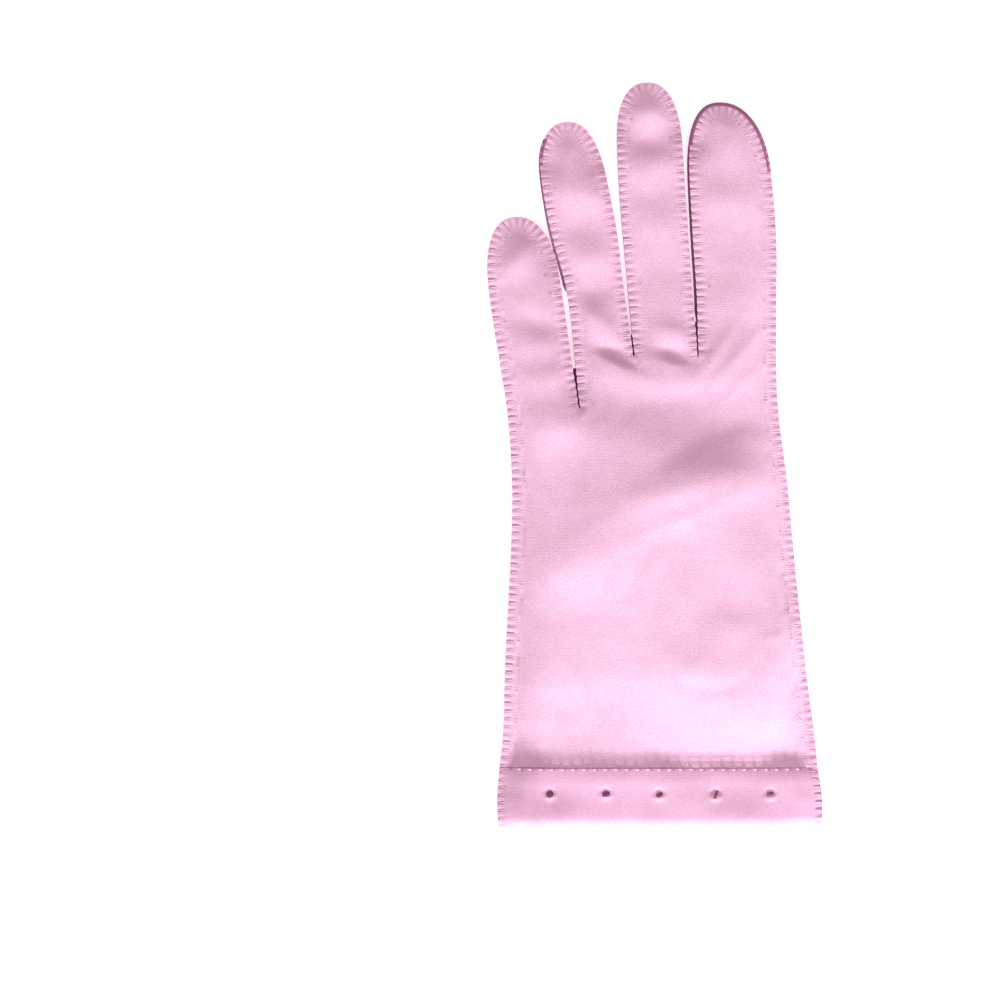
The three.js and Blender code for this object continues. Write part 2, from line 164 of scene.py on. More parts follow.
def knit(name, colour, shade, painted_shade_colour, nap):
    """Sueded warp knit: matt, with fine lines across, a mottle, a grain and painted shade."""
    material, tree, shader = new_material(name)
    place = node(tree, "ShaderNodeTexCoord").outputs["Object"]
    mottle = node(tree, "ShaderNodeTexNoise", [("Vector", place)], scale=1 / MOTTLE, detail=3.0)
    grain = node(tree, "ShaderNodeTexNoise", [("Vector", place)], scale=1 / GRAIN, detail=2.0)
    lines = node(
        tree, "ShaderNodeTexWave", [("Vector", place)], bands_direction="Y",
        scale=math.pi / 10 / COURSE, distortion=1.2, detail=1.0,
    )
    amount = node(
        tree, "ShaderNodeMapRange", [("Value", mottle.outputs["Fac"])],
        from_min=0.35, from_max=0.75, to_min=0.0, to_max=0.2,
    )
    speckle = node(
        tree, "ShaderNodeMapRange", [("Value", grain.outputs["Fac"])],
        from_min=0.3, from_max=0.8, to_min=0.0, to_max=0.75,
    )
    both = node(
        tree, "ShaderNodeMath",
        [(0, amount.outputs["Result"]), (1, speckle.outputs["Result"])], operation="ADD",
    )
    dyed = node(tree, "ShaderNodeMix", [("Factor", both.outputs[0])], data_type="RGBA")
    dyed.inputs[6].default_value, dyed.inputs[7].default_value = linear(colour), linear(shade)
    # Painted shade: a mesh attribute mixes the knit towards a darker colour in the stitch grooves,
    # beside the prick stitches and in the listed patches.
    shade_paint = node(tree, "ShaderNodeAttribute", attribute_name="painted_shade").outputs["Fac"]
    shaded = node(
        tree, "ShaderNodeMix", [("Factor", shade_paint), (6, dyed.outputs[2])], data_type="RGBA",
    )
    shaded.inputs[7].default_value = linear(painted_shade_colour)
    rows = node(
        tree, "ShaderNodeBump", [("Height", lines.outputs["Fac"])],
        strength=0.25, distance=0.05 * MM,
    )
    fuzz = node(
        tree, "ShaderNodeBump",
        [("Height", grain.outputs["Fac"]), ("Normal", rows.outputs["Normal"])],
        strength=nap, distance=0.12 * MM,
    )
    tree.links.new(shaded.outputs[2], shader.inputs["Base Color"])
    tree.links.new(fuzz.outputs["Normal"], shader.inputs["Normal"])
    shader.inputs["Roughness"].default_value = 0.9
    shader.inputs["Specular IOR Level"].default_value = 0.25
    shader.inputs["Sheen Weight"].default_value = 0.25
    shader.inputs["Sheen Roughness"].default_value = 0.5
    shader.inputs["Sheen Tint"].default_value = linear("#FCEAF8")
    return material


pink_knit = knit("sueded simplex knit", "#F4C2D9", "#DE9DBC", "#9A5277", 0.7)
band_knit = knit("doubled simplex knit", "#ECB6CF", "#D594B5", "#9A5277", 0.35)
# The strips between the fingers are the same knit as the glove, painted darker: painted shade for
# the shadow in the slits and beside the fingers.
shaded_strip_knit = knit("simplex knit between the fingers, painted dark for shade", "#A8698B", "#864E6C", "#4A2438", 0.35)

# %% [markdown]
# ## Thread and table
#
# The sewing thread is mercerised cotton, twisted of two plies and dyed to match, with a slight
# shine. The table is a sheet of opal acrylic with a faint light below it, as photographers
# use, so the glove throws almost no shadow.

# %% Make the thread and the table's finish
def plain_finish(name, colour, roughness, sheen=0.0):
    """One colour with a faint noise in it, for small or plain things."""
    material, tree, shader = new_material(name)
    place = node(tree, "ShaderNodeTexCoord").outputs["Object"]
    grain = node(tree, "ShaderNodeTexNoise", [("Vector", place)], scale=1 / (0.3 * MM), detail=1.0)
    relief = node(
        tree, "ShaderNodeBump", [("Height", grain.outputs["Fac"])],
        strength=0.2, distance=0.03 * MM,
    )
    tree.links.new(relief.outputs["Normal"], shader.inputs["Normal"])
    shader.inputs["Base Color"].default_value = linear(colour)
    shader.inputs["Roughness"].default_value = roughness
    shader.inputs["Sheen Weight"].default_value = sheen
    return material


seam_thread = plain_finish("mercerised cotton thread, two-ply", "#E4B6CE", 0.6, 0.2)
prick_thread = plain_finish("mercerised cotton thread, pale", "#EFC3DA", 0.55, 0.2)
acrylic = plain_finish("opal acrylic, lit from below", "#FFFFFF", 0.9)
glow = acrylic.node_tree.nodes["Principled BSDF"]
glow.inputs["Emission Color"].default_value = linear("#FFFFFF")
glow.inputs["Emission Strength"].default_value = 0.45
table_data.materials.append(acrylic)

# %% [markdown]
# ## Reading the plain model
#
# The cloth follows the plain model, so three things are read from it: a merged copy of a node's
# mesh, its outline as one closed path, and the height of its upper side at any place.

# %% Read a node's mesh and its outline
UPWARD = 0.2
SIDEWAYS = 0.04
SHARP_CORNER = 60


def merged(name):
    """A copy of a node's mesh, with its loose triangles joined at their corners."""
    mesh = bmesh.new()
    mesh.from_mesh(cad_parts[name].data)
    bmesh.ops.remove_doubles(mesh, verts=mesh.verts, dist=1e-6)
    mesh.normal_update()
    return mesh


def outline(name):
    """The outer edge of a node's upper side, as a closed list of points in order."""
    mesh = merged(name)
    beside = {}
    for edge in mesh.edges:
        ups = sorted(face.normal.z for face in edge.link_faces)
        if len(ups) == 2 and abs(ups[0]) < SIDEWAYS and ups[1] > UPWARD:
            a, b = edge.verts
            beside.setdefault(a.index, []).append(b.index)
            beside.setdefault(b.index, []).append(a.index)
    mesh.verts.ensure_lookup_table()
    start = min(beside, key=lambda i: mesh.verts[i].co.y)
    path, before, here = [], None, start
    while True:
        path.append(mesh.verts[here].co.copy())
        onward = [i for i in beside[here] if i != before]
        before, here = here, onward[0]
        if here == start:
            break
    mesh.free()
    return path


def turn_at(path, i):
    """How far a closed path turns at a point, in degrees, counted left or right alike."""
    a, b, c = (path[(i + k) % len(path)].xy for k in (-1, 0, 1))
    return math.degrees(abs((b - a).angle_signed(c - b, 0)))


back_path = outline("back_panel")
sharp = [i for i in range(len(back_path)) if turn_at(back_path, i) > SHARP_CORNER]
print("the back's outline has", len(back_path), "points and", len(sharp), "sharp corners")

# %% [markdown]
# ## A fine outline
#
# The stitches pucker the edge every 2.35 mm, so the outline needs a point every half millimetre.
# Between its sharp corners it is drawn as a smooth curve. Towards a crotch, where two fingers
# part, the two edges come closer and closer. They are held a little apart there, as a narrow
# straight slit with a blunt end, because cloth can't turn back on itself.

# %% Smooth the outline and keep the slits open
STEP = 0.45 * MM
SLIT_HALF_WIDTH = 0.2 * MM
SPARE = 9 * MM
SOFTENINGS = 25
SLIT_CORNER = 80
HAIRPIN = 120
SLIT_POINTS = 60
CUFF_SEAM = (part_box("cuff_band_back")[1].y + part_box("back_panel")[0].y) / 2


def curve_through(points, step):
    """Evenly spaced points on a smooth open curve through the given ones."""
    fine = []
    for i in range(len(points) - 1):
        p0, p1 = points[max(0, i - 1)], points[i]
        p2, p3 = points[i + 1], points[min(len(points) - 1, i + 2)]
        count = max(2, math.ceil((p2 - p1).length / step * 4))
        for k in range(count):
            t = k / count
            fine.append(0.5 * (
                2 * p1 + (p2 - p0) * t + (2 * p0 - 5 * p1 + 4 * p2 - p3) * t ** 2
                + (3 * p1 - p0 - 3 * p2 + p3) * t ** 3
            ))
    fine.append(points[-1])
    length = sum((b - a).length for a, b in zip(fine, fine[1:]))
    spacing = length / round(length / step)
    even, gone, target = [fine[0]], 0.0, spacing
    for a, b in zip(fine, fine[1:]):
        piece = (b - a).length
        while gone + piece >= target - 1e-12 and target < length - spacing / 2:
            even.append(a.lerp(b, (target - gone) / piece))
            target += spacing
        gone += piece
    return even + [fine[-1]]


def with_spare(path):
    """The path with a spare length of cloth past the cuff seam, which is trimmed off later."""
    level = min(p.y for p in path) + 0.01 * MM
    cuff = [i for i, p in enumerate(path) if p.y < level]
    first = next(i for i in cuff if i - 1 not in cuff and (i - 1) % len(path) not in cuff)
    turned = path[first:] + path[:first]
    last = max(i for i, p in enumerate(turned) if p.y < level)
    a, b = turned[0], turned[last]
    down = Vector((0, SPARE, 0))
    return [a, a - down, b - down, b] + turned[last + 1:]


def fine_outline(path, step):
    """A closed path with a point at every step, whose slits stay open to their ends."""
    flat = [p.xy.to_3d() for p in with_spare(path)]
    corners = [i for i in range(len(flat)) if turn_at(flat, i) > SHARP_CORNER]
    fine = []
    for a, b in zip(corners, corners[1:] + [corners[0] + len(flat)]):
        stretch = curve_through([flat[i % len(flat)] for i in range(a, b + 1)], step)
        for _ in range(SOFTENINGS):
            middles = [(p + q) / 2 for p, q in zip(stretch, stretch[2:])]
            stretch[1:-1] = [p.lerp(m, 0.5) for p, m in zip(stretch[1:-1], middles)]
        fine += stretch[:-1]
    for i in [i for i in range(len(fine)) if turn_at(fine, i) > HAIRPIN]:
        reach = next(
            k for k in range(1, SLIT_POINTS)
            if (fine[i - k] - fine[i + k]).length > 2 * SLIT_HALF_WIDTH
        )
        across = (fine[i - reach] - fine[i + reach]).normalized() * SLIT_HALF_WIDTH
        tip, opening = fine[i], (fine[i - reach] + fine[i + reach]) / 2
        for k in range(1, reach):
            middle = tip.lerp(opening, k / reach)
            width = across * min(1.0, math.sqrt(k / 2))
            fine[i - k], fine[i + k] = middle + width, middle - width
    return fine


back_outline = fine_outline(back_path, STEP)
print("the fine outline has", len(back_outline), "points")

# %% [markdown]
# ## The lie of the cloth
#
# The heights come from the plain model. Its facets are smoothed away afterwards, and small
# folds that the plain model leaves out are added here: each has a place, a reach along and one
# across to either side, a turn and a height, all in millimetres and degrees. Arcs mark where the
# tucked thumb presses its round outline through the cloth. Soft patches of painted shade also
# darken the knit where the cloth lies in shadow, without making it any lower.

# %% Folds that the cloth adds, and patches of painted shade
FOLDS = [
    # x, y, along, towards the cuff, towards the fingers, turn, high
    (-2.8, 105, 8, 2.8, 2.8, 0, 0.9),
    (-2.2, 96, 9, 2.8, 2.8, 4, -1.1),
    (0, 88, 9, 3, 3, 4, 0.6),
    (0, 70, 8, 3.5, 3.5, -6, 0.5),
    (-1, 79, 8, 3, 3, 0, -0.4),
    (-1, 56, 9, 4, 4, 5, -0.4),
    (-23.5, 80, 8, 3, 4, -8, 0.8),
    (-22, 70, 8, 3, 3, 5, -0.7),
    (-20, 60, 8, 3, 3, 8, 0.7),
    (-18, 50, 8, 2.6, 2.6, 8, -0.6),
    (20.5, 103, 9, 4.5, 3.5, -10, 0.9),
    (19, 86, 10, 3.6, 3.6, 8, -0.4),
    (22, 78, 9, 3, 3, 6, 0.5),
    (25, 65, 9, 4, 4, -6, -0.4),
    (27, 48, 10, 4, 4, 10, 0.5),
    (-42.5, 59.5, 8, 2.6, 2.6, 35, 0.8),
    (-40, 52, 8, 3, 3, 12, -0.4),
    (-35, 40.5, 8, 2.4, 2.4, -12, -0.6),
    (-33, 34, 7, 2.6, 2.6, 0, 0.5),
    (-33, 24, 9, 3, 3, 6, 0.9),
    (-28, 10, 8, 4.5, 6, 8, 1.5),
    (-17, 40.5, 6, 3.5, 2.5, -38, 1.2),
    (-12.5, 30.8, 3.6, 1.1, 2.2, -27, -1.1),
    (-4, 29.5, 3.5, 3, 3, -10, 0.6),
    (-12, 27.8, 5.5, 3.2, 1.1, -25, 0.8),
    (-3, 23.5, 14, 3, 3, 0, 0.55),
    (14, 23, 11, 3, 3, 8, 0.45),
    (4.5, 28, 4.5, 3, 1.1, -15, 0.6),
    (5, 31, 3.2, 1.1, 2.2, -20, -0.9),
    (15, 29.5, 3.5, 3, 3, -10, 0.5),
    (7, 37.5, 5, 3, 2, -8, 0.9),
    (18, 31, 9, 1.2, 1.2, 55, 0.35),
    (24, 29, 10, 1.2, 1.2, 48, 0.35),
    (29, 24, 10, 1.4, 1.4, 40, 0.3),
    (-4, 8, 11, 5, 5, 10, 0.5),
    (26, -6, 12, 4.5, 8, 6, 1.7),
    (4, -11.5, 10, 3, 4, 20, 0.8),
    (-18, 6, 13, 9, 9, 10, 1.8),
    (12, 3, 16, 2, 2, 28, -0.3),
    (32, 5, 8, 2.4, 2.4, -8, 0.3),
    (12.5, -17, 17, 2, 2, 23, 0.4),
    (-24, -33, 9, 6, 7, 14, 1.1),
    (-14, -44, 16, 5, 5, 12, -0.4),
    (22.5, -52, 5, 4, 4, 0, 0.8),
    (16, -62, 11, 5, 7, 0, 0.4),
    (38, -66, 4, 12, 12, -12, 0.5),
    (-20, -68, 20, 4, 4, 4, 0.4),
    (-33, -80.5, 10, 3, 4, 2, 0.4),
    (-34, -109.5, 11, 3, 4, 2, 0.8),
    (28, -111.5, 15, 2.5, 4.5, -2, 0.8),
    (0, -89.4, 70, 2.6, 14, 0, -1.1),
    (24, -91, 18, 2, 5, 0, -0.8),
    (-40, -89.5, 9, 2.4, 5, 8, -0.4),
    (40, -90.5, 7, 2, 4, -24, -0.7),
]
ARC_FADE = 30
ARCS = [
    # x, y, radius, first and last direction in degrees, across, high
    (16, -53.5, 17.5, 190, 335, 1.8, -0.27),
    (17, -46, 22, 120, 200, 1.8, 0.25),
    (34, -44, 11, 250, 350, 1.2, 0.25),
]

# Patches of painted shade: each darkens the knit's colour where the cloth lies in shadow.
SHADE_PATCHES = [
    # x, y, along, across, turn, how dark
    (24, 2.5, 11, 6, 4, 0.06),
    (14, 5, 8, 3.5, 25, 0.05),
    (6, -4, 10, 4, 32, 0.05),
    (24, -8, 8, 3, -12, 0.05),
    (-24, -20, 8, 8, 0, 0.06),
    (22.4, -48.5, 6, 5, 0, 0.09),
    (-40, -92.6, 9, 1.9, 0, 0.15),
    (8, -92.3, 30, 1.8, 0, 0.10),
    (43, -92, 6, 2, -25, 0.14),
    (22, -84, 22, 6, 0, 0.06),
    (-44, -100, 7, 5, 0, 0.08),
    (-12, 29.2, 3.6, 0.8, -27, 0.28),
    (4.8, 29.4, 3, 0.8, -20, 0.22),
    (-35, -106.5, 9, 5, 0, 0.13),
    (29, -107.5, 13, 3, -3, 0.11),
    (-15, 45, 5, 2.5, -15, 0.08),
    (-24, 30, 9, 3, 0, 0.08),
    (-40, 63, 6, 4, 40, 0.10),
    (0, 92.5, 8, 3, 0, 0.08),
    (0, 73, 7, 5, 0, 0.07),
    (-20, 65, 6, 5, 0, 0.07),
]


def shade_patches(x, y):
    """How much painted shade the patches give a place, from 0 to 1."""
    total = 0.0
    for px, py, along, across, turn, dark in SHADE_PATCHES:
        a = math.radians(turn)
        dx, dy = x / MM - px, y / MM - py
        u = (dx * math.cos(a) + dy * math.sin(a)) / along
        v = (dy * math.cos(a) - dx * math.sin(a)) / across
        total += dark * math.exp(-(u * u + v * v) / 2)
    return total


def fold_height(x, y):
    """The height that the small folds add at a place, in metres."""
    total = 0.0
    for fx, fy, along, cuffward, fingerward, turn, high in FOLDS:
        a = math.radians(turn)
        dx, dy = x / MM - fx, y / MM - fy
        u = (dx * math.cos(a) + dy * math.sin(a)) / along
        v = dy * math.cos(a) - dx * math.sin(a)
        v /= fingerward if v > 0 else cuffward
        total += high * math.exp(-(u * u + v * v) / 2)
    for ax, ay, radius, first, last, across, high in ARCS:
        dx, dy = x / MM - ax, y / MM - ay
        direction = math.degrees(math.atan2(dy, dx)) % 360
        inside = min(direction - first, last - direction) / ARC_FADE
        if inside > 0:
            off = (math.hypot(dx, dy) - radius) / across
            total += high * min(1, inside) * math.exp(-off * off / 2)
    return total * MM


# %% [markdown]
# ## The puckers of the outer seam
#
# The glove is sewn with its edges outside: back and palm are laid together and a stitch is
# taken over the edge every 2.35 mm. Each stitch presses a short groove into the cloth and pulls
# the edge in, and the cloth stands up in small pillows between the stitches. No two stitches are
# drawn equally tight, so a noise varies them. The loose numbers in its vectors only choose a
# place in that noise.

# %% Where the stitches are, and what they do to the edge
PITCH = 2.35 * MM
GROOVE_LENGTH = 2.6 * MM
GROOVE_WIDTH = 0.34 * MM
GROOVE_DEPTH = 0.34 * MM
GROOVE_END_WIDTH = 0.45
GROOVE_ROUNDING = 0.6
PILLOW = 0.26 * MM
PILLOW_PLACE = 1.2 * MM
PILLOW_REACH = 1.1 * MM
PILLOW_GAP = 0.6 * MM
SCALLOP = 0.12 * MM
SCALLOP_WIDTH = 0.5 * MM
SCALLOP_REACH = 0.8 * MM
DRAWN = 0.22 * MM
DRAWN_WIDTH = 1.7 * MM
DRAWN_LENGTH = 6 * MM
DRAWN_REACH = 4 * MM
POINTS_AT_SLIT_END = 20


def off_stitch(s):
    """How far a place along a seam is from the nearest stitch."""
    return abs((s / PITCH) % 1 - 0.5) * PITCH


def groove_at(off, reach, width):
    """How deep a stitch presses the cloth, so far off it, where reach falls from 1 to 0 inwards."""
    return math.exp(-(off / width) ** 2) * reach ** GROOVE_ROUNDING * GROOVE_DEPTH


def pull_at(off, distance):
    """How far a stitch pulls the cloth in, so far off it and so far from the edge."""
    return math.exp(-(off / SCALLOP_WIDTH) ** 2) * math.exp(-distance / SCALLOP_REACH) * SCALLOP


def signed_area(path):
    """The area inside a closed path, positive where the path runs round it leftwards."""
    return sum(a.x * b.y - b.x * a.y for a, b in zip(path, path[1:] + path[:1])) / 2


class Seam:
    """A line of stitches along part of an outline."""

    def __init__(self, path, skip):
        self.path = path
        self.skip = skip
        self.side = 1 if signed_area(path) > 0 else -1
        self.tree = KDTree(len(path))
        self.along = [0.0]
        for i, point in enumerate(path):
            self.tree.insert(point, i)
            if i:
                self.along.append(self.along[-1] + (point - path[i - 1]).length)
        self.tree.balance()
        self.sewn = KDTree(len(path))
        ends = [i for i in range(len(path)) if path[i].y > 0 and turn_at(path, i) > SLIT_CORNER]
        for i, point in enumerate(path):
            if not skip(point) and all(abs(i - end) > POINTS_AT_SLIT_END for end in ends):
                self.sewn.insert(point, i)
        self.sewn.balance()

    def near(self, x, y):
        """How far a place is from the edge, how far along the seam, and at which point."""
        _, i, distance = self.tree.find((x, y, 0))
        return distance, self.along[i], i

    def side_distance(self, x, y):
        """How far a place is from the sides. Slit ends and the raw edge at the band don't count."""
        return self.sewn.find((x, y, 0))[2]

    def inward(self, i):
        """The direction from the edge into the cloth."""
        ahead = self.path[(i + 2) % len(self.path)] - self.path[i - 2]
        return Vector((-ahead.y, ahead.x, 0)).normalized() * self.side

    def stitches(self):
        """The index of the outline's point at each stitch."""
        marks, count = [], 0
        for i, s in enumerate(self.along):
            if s >= (count + 0.5) * PITCH:
                count += 1
                if not self.skip(self.path[i]):
                    marks.append(i)
        return marks

    def one_stitch(self, s):
        """How long and how tight the stitch at a place along the seam is."""
        count = math.floor(s / PITCH)
        longer = 1 + 0.5 * noise.noise(Vector((count * 7.3, 0, 1.7)))
        tight = 0.75 + 0.6 * noise.noise(Vector((3.1, count * 5.7, 2.9)))
        return longer, tight

    def shape(self, x, y):
        """How high the seam lifts a place, how far it pulls it in, and at which point."""
        distance, s, i = self.near(x, y)
        if self.skip(self.path[i]) or distance > 5 * GROOVE_LENGTH:
            return 0.0, 0.0, i
        ahead = (self.path[(i + 2) % len(self.path)] - self.path[i - 2]).normalized()
        s += (Vector((x, y, 0)) - self.path[i]).dot(ahead)
        drawn = noise.noise(Vector((s / DRAWN_WIDTH, distance / DRAWN_LENGTH, 4.2)))
        drawn *= DRAWN * distance / (DRAWN_REACH / 2) * max(0.0, 1 - distance / DRAWN_REACH)
        off = off_stitch(s)
        longer, tight = self.one_stitch(s)
        reach = max(0.0, 1 - distance / (GROOVE_LENGTH * longer))
        width = GROOVE_WIDTH * (GROOVE_END_WIDTH + (1 - GROOVE_END_WIDTH) * reach)
        groove = groove_at(off, reach, width) * tight
        swell = math.exp(-((distance - PILLOW_PLACE) / PILLOW_REACH) ** 2)
        pillow = (1 - math.exp(-(off / PILLOW_GAP) ** 2)) * swell * PILLOW
        return pillow - groove + drawn, pull_at(off, distance), i


seam = Seam(back_outline, lambda p: p.y < CUFF_SEAM + 0.6 * MM)
print("the outer seam has", len(seam.stitches()), "stitches on the back")

# %% [markdown]
# ## Cutting a panel
#
# A panel starts as one many-sided face. Insets run round its edge a few tenths of a millimetre
# apart, so that the puckers have fine cloth to form in, and straight cuts divide the rest into
# small squares. A few narrow rows follow the cuff seam, where the cloth dips most steeply. Then
# each point is laid at its height, and the sheet gets its thickness.

# %% Cut, lay and thicken a panel
INSETS = [0.22, 0.33, 0.42, 0.5, 0.55, 0.6, 0.7, 0.8]
CELL = 0.95 * MM
PALM_CELL = 2.2 * MM
SEAM_GAP = 0.02 * MM
SEAM_ROWS = 6
SEAM_ROW = 0.4 * MM
CUT_SNAP = 0.02 * MM
RAY_START = 50 * MM
USUAL_HEIGHT = 4 * MM


def cut_panel(path, insets, cell):
    """A flat sheet with fine rings round its edge and small squares inside."""
    mesh = bmesh.new()
    face = mesh.faces.new([mesh.verts.new(p) for p in path])
    if face.normal.z < 0 or signed_area(path) < 0:
        bmesh.ops.reverse_faces(mesh, faces=[face])
    rings = set()
    for width in insets:
        made = bmesh.ops.inset_region(
            mesh, faces=[face], thickness=width * MM, use_boundary=True, use_even_offset=False,
        )
        rings.update(made["faces"])
    lo = Vector(min(p[k] for p in path) for k in range(3))
    hi = Vector(max(p[k] for p in path) for k in range(3))
    for axis in (0, 1):
        normal = Vector((axis == 0, axis == 1, 0))
        for i in range(1, int((hi[axis] - lo[axis]) / cell) + 1):
            inner = [f for f in mesh.faces if f not in rings]
            geometry = set(inner)
            for f in inner:
                geometry.update(f.verts)
                geometry.update(f.edges)
            bmesh.ops.bisect_plane(
                mesh, geom=list(geometry), dist=CUT_SNAP,
                plane_co=normal * (lo[axis] + i * cell), plane_no=normal,
            )
    everything = [*mesh.verts, *mesh.edges, *mesh.faces]
    bmesh.ops.bisect_plane(
        mesh, geom=everything, dist=CUT_SNAP, clear_inner=True,
        plane_co=(0, CUFF_SEAM + SEAM_GAP / 2, 0), plane_no=(0, 1, 0),
    )
    for i in range(1, SEAM_ROWS + 1):
        everything = [*mesh.verts, *mesh.edges, *mesh.faces]
        bmesh.ops.bisect_plane(
            mesh, geom=everything, dist=CUT_SNAP,
            plane_co=(0, CUFF_SEAM + i * SEAM_ROW, 0), plane_no=(0, 1, 0),
        )
    bmesh.ops.triangulate(mesh, faces=[f for f in mesh.faces if len(f.verts) > 4])
    return mesh


def top_of(name, smooth):
    """A function that gives the height of a node's upper side, smoothed over a small disc."""
    mesh = merged(name)
    bmesh.ops.delete(mesh, geom=[f for f in mesh.faces if f.normal.z < UPWARD], context="FACES")
    tree = BVHTree.FromBMesh(mesh)
    mesh.free()
    spokes = [k * math.pi / 4 for k in range(8)]
    offsets = [(smooth * math.cos(a), smooth * math.sin(a)) for a in spokes]
    offsets += [(dx / 2, dy / 2) for dx, dy in offsets]

    def at(x, y, guess):
        hit = tree.ray_cast(Vector((x, y, RAY_START)), Vector((0, 0, -1)))[0]
        return (hit or tree.find_nearest(Vector((x, y, guess)))[0]).z

    def height(x, y):
        middle = at(x, y, USUAL_HEIGHT)
        around = [at(x + dx, y + dy, middle) for dx, dy in offsets]
        return (middle + sum(around)) / (1 + len(around))

    return height


def finished(mesh, name, material):
    """A piece of the glove from a bmesh, smooth, with its material, on the glove's one body."""
    data = bpy.data.meshes.new(name)
    mesh.to_mesh(data)
    mesh.free()
    data.shade_smooth()
    data.materials.append(material)
    piece = bpy.data.objects.new(name, data)
    bpy.context.scene.collection.objects.link(piece)
    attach(piece, "root")
    return piece


def thicken(piece, thickness):
    """Gives a sheet its thickness, downwards from its upper side."""
    solid = piece.modifiers.new("thickness", "SOLIDIFY")
    solid.thickness = thickness
    solid.offset = -1
    return piece


# %% [markdown]
# ## The back
#
# The back panel is the piece that shows most. It is laid on the plain model's upper side, with
# the folds and the puckers on top, and lightly smoothed so that no facet of the plain model
# shows through.

# %% Lay the back panel
CLOTH = 0.9 * MM
GROOVE_SHADE = 0.45
PUCKER_REACH = 1.2 * MM
SMOOTHINGS = 6
FOLD_FADE = 6 * MM
WANDER = 0.35 * MM
WANDER_SIZE = 14 * MM


def lay(mesh, height, seam, folds, shade_paint, lowest=0.0):
    """Moves each point of a flat sheet to its height, with folds and puckers, and no lower than
    the lowest height. A mesh attribute carries painted shade: darker in grooves and patches."""
    painted_shade = mesh.verts.layers.float.new("painted_shade")
    for vert in mesh.verts:
        x, y = vert.co.x, vert.co.y
        vert.co.z = height(x, y)
    inner = [v for v in mesh.verts if seam.near(v.co.x, v.co.y)[0] > PUCKER_REACH]
    for _ in range(SMOOTHINGS):
        bmesh.ops.smooth_vert(mesh, verts=inner, factor=0.5, use_axis_z=True)
    for vert in mesh.verts:
        x, y = vert.co.x, vert.co.y
        lift, pull, i = seam.shape(x, y)
        in_groove = min(1.0, max(0.0, -lift / GROOVE_DEPTH))
        # Painted shade: darker in the stitch grooves and in the patches.
        vert[painted_shade] = GROOVE_SHADE * in_groove + shade_paint(x, y)
        from_edge = min(1.0, max(0.0, seam.side_distance(x, y)) / FOLD_FADE)
        wander = noise.noise(Vector((x, y, 0)) / WANDER_SIZE) * WANDER
        vert.co.z += lift + (folds(x, y) + wander) * from_edge
        vert.co += seam.inward(i) * pull
        vert.co.z = max(vert.co.z, lowest)
    return mesh


fine_top, calm_top = top_of("back_panel", 1.6 * MM), top_of("back_panel", 5 * MM)
CALM_PLACE = (-2 * MM, 31 * MM)
CALM_REACH = (24 * MM, 9 * MM)
FLATTER = 0.35
FINGERS_BEGIN = 30 * MM
FINGERS_REACH = 25 * MM
FINGER_EDGE = min(fine_top(p.x, p.y) for p in back_outline if p.y > FINGERS_BEGIN + 10 * MM)
print("the fingers' edges lie", round(FINGER_EDGE / MM, 1), "mm above the table")


def back_top(x, y):
    """The plain model's height, calmer round the crotches and flatter along the fingers."""
    off = ((x - CALM_PLACE[0]) / CALM_REACH[0]) ** 2 + ((y - CALM_PLACE[1]) / CALM_REACH[1]) ** 2
    calm = math.exp(-off ** 2)
    top = fine_top(x, y) * (1 - calm) + calm_top(x, y) * calm
    on_finger = min(1.0, max(0.0, (y - FINGERS_BEGIN) / FINGERS_REACH))
    return top - FLATTER * on_finger * max(0.0, top - FINGER_EDGE)


back_sheet = cut_panel(back_outline, INSETS, CELL)
lay(back_sheet, back_top, seam, fold_height, shade_patches)
back = thicken(finished(back_sheet, "back_cloth", pink_knit), CLOTH)
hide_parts("back_panel")
print("the back has", len(back.data.polygons), "faces")

# %% [markdown]
# ## The palm
#
# The palm is cut the same way. It gets no folds of its own, because it lies face down: it is
# pressed flat on the table and rises over the thumb that is tucked below it, as the plain model
# does. The thumb's mouth is cut through it with an oval prism, and the cut is kept in the mesh,
# so no modifier is left to wait for.

# %% Cut one piece by another
PRISM_HEIGHT = 60 * MM


def settled(piece):
    """Turns a piece's modifiers into its mesh."""
    graph = bpy.context.evaluated_depsgraph_get()
    made = bpy.data.meshes.new_from_object(piece.evaluated_get(graph), depsgraph=graph)
    old = piece.data
    piece.modifiers.clear()
    piece.data = made
    bpy.data.meshes.remove(old)
    return piece


def cut_away(piece, cutter_mesh):
    """Cuts the shape of a bmesh out of a piece."""
    data = bpy.data.meshes.new("cutter")
    cutter_mesh.to_mesh(data)
    cutter_mesh.free()
    cutter = bpy.data.objects.new("cutter", data)
    bpy.context.scene.collection.objects.link(cutter)
    cut = piece.modifiers.new("cut", "BOOLEAN")
    cut.operation, cut.solver, cut.object = "DIFFERENCE", "EXACT", cutter
    settled(piece)
    bpy.data.objects.remove(cutter)
    bpy.data.meshes.remove(data)
    return piece


def oval_prisms(ovals, sides):
    """Upright prisms: (middle, half length, half width, turn in radians) each."""
    mesh = bmesh.new()
    for middle, half_length, half_width, turn in ovals:
        made = bmesh.ops.create_cone(
            mesh, cap_ends=True, segments=sides, radius1=1, radius2=1, depth=PRISM_HEIGHT,
        )["verts"]
        bmesh.ops.scale(mesh, verts=made, vec=(half_length, half_width, 1))
        bmesh.ops.rotate(mesh, verts=made, cent=(0, 0, 0), matrix=Matrix.Rotation(turn, 3, "Z"))
        bmesh.ops.translate(mesh, verts=made, vec=middle)
    return mesh


# %% Lay the palm panel
def left_plain(x, y):
    """No fold and no painted shade, wherever the place is."""
    return 0.0


palm_outline = fine_outline(outline("palm_panel"), STEP)
palm_seam = Seam(palm_outline, seam.skip)

